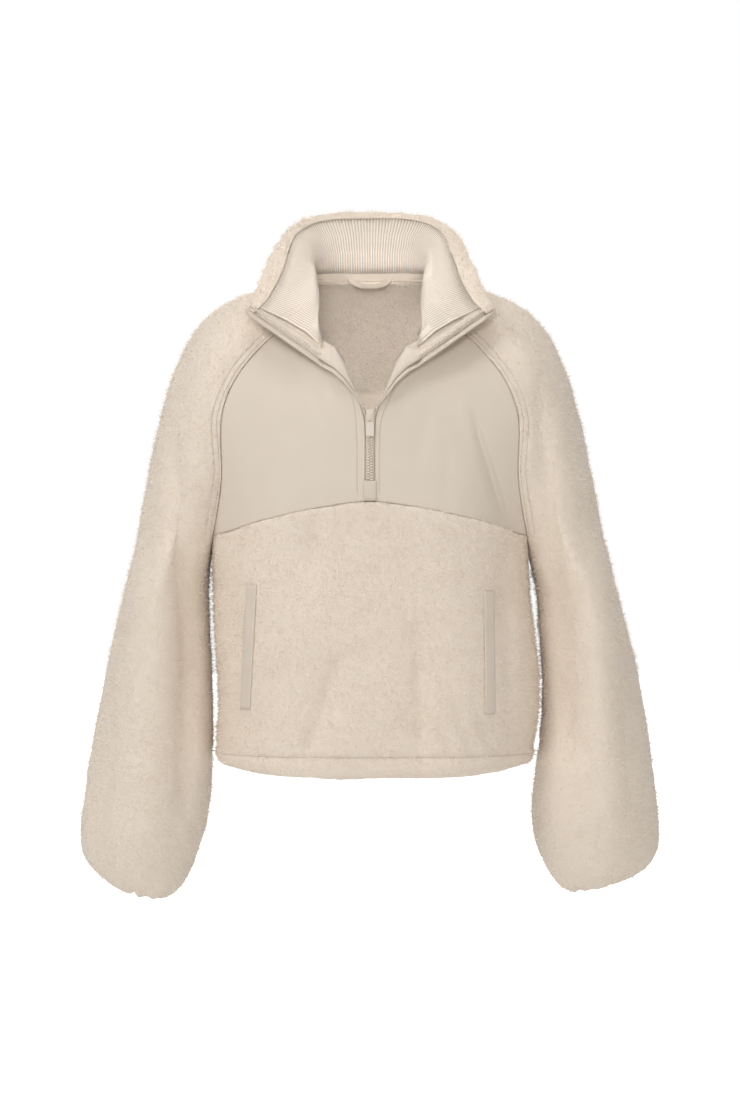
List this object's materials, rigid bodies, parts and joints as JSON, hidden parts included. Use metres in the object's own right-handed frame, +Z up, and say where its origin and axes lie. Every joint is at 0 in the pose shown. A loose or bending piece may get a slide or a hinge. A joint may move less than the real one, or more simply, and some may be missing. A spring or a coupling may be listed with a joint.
{
  "type": "sherpa fleece half-zip pullover",
  "caption": "Cropped raglan half-zip pullover of sherpa fleece with a smooth woven front yoke, rib-lined stand collar, side pockets and gathered cuffs, filled out as if worn.",
  "frame": {"origin": "middle of the neck base, where the wearer's neck and shoulders hold the garment", "axes": "+Z up along the wearer's neck, +X to the wearer's left, -Y to the front"},
  "size_m": [0.68, 0.2472, 0.815],
  "materials": {
    "sherpa": "matte",
    "woven": "satin",
    "rib": "matte",
    "tape": "matte",
    "zip": "satin"
  },
  "bodies": {
    "garment": {"front_panel": "sherpa", "back_panel": "sherpa", "yoke_right": "woven", "yoke_left": "woven", "sleeve_right": "sherpa", "sleeve_left": "sherpa", "collar_outer": "sherpa", "collar_rib": "rib", "neck_tape": "tape", "hanger_loop": "tape", "back_lining": "tape", "zip_facing_right": "tape", "zip_facing_left": "tape", "zip_tape_right": "tape", "zip_tape_left": "tape", "zip_slider": "zip", "zip_end_tab": "tape", "pocket_welt_right": "tape", "pocket_welt_left": "tape"},
    "pull": {"zip_pull": "zip"}
  },
  "joints": [
    {"name": "pull_swing", "type": "hinge", "parent": "garment", "child": "pull", "pos_m": [0, -0.12675, -0.143], "axis": [-1, 0, 0], "range_deg": [0, 150]}
  ]
}
